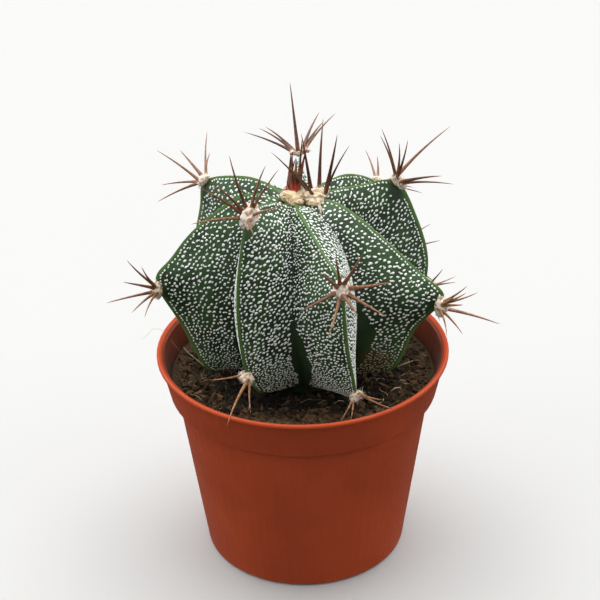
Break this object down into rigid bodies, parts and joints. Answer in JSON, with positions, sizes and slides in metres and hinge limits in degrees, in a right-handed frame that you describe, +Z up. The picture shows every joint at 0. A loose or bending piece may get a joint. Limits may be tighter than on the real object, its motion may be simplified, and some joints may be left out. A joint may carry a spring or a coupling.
{
  "type": "potted monks hood cactus",
  "caption": "Young monks hood cactus with sharp ribs, woolly spine bunches and white flecks, standing in soil in a round plastic nursery pot.",
  "frame": {"origin": "centre of the pot's flat base, where it stands", "axes": "+Z up through the plant, -Y toward the side that the picture shows, +X to its right"},
  "size_m": [0.1342, 0.1296, 0.1686],
  "materials": {
    "pot_plastic": "satin",
    "soil": "matte",
    "skin": "satin",
    "wool_and_spines": "matte"
  },
  "bodies": {
    "root": {"areole_back_high": "wool_and_spines", "areole_back_left_high": "wool_and_spines", "areole_back_left_low": "wool_and_spines", "areole_back_low_high": "wool_and_spines", "areole_back_low_low": "wool_and_spines", "areole_back_mid": "wool_and_spines", "areole_back_right_high": "wool_and_spines", "areole_back_right_low": "wool_and_spines", "areole_crown_old": "wool_and_spines", "areole_crown_young": "wool_and_spines", "areole_front": "wool_and_spines", "areole_front_left_high": "wool_and_spines", "areole_front_left_low": "wool_and_spines", "areole_front_low": "wool_and_spines", "areole_left": "wool_and_spines", "areole_right": "wool_and_spines", "cactus_body": "skin", "pot": "pot_plastic", "soil": "soil"}
  },
  "joints": []
}
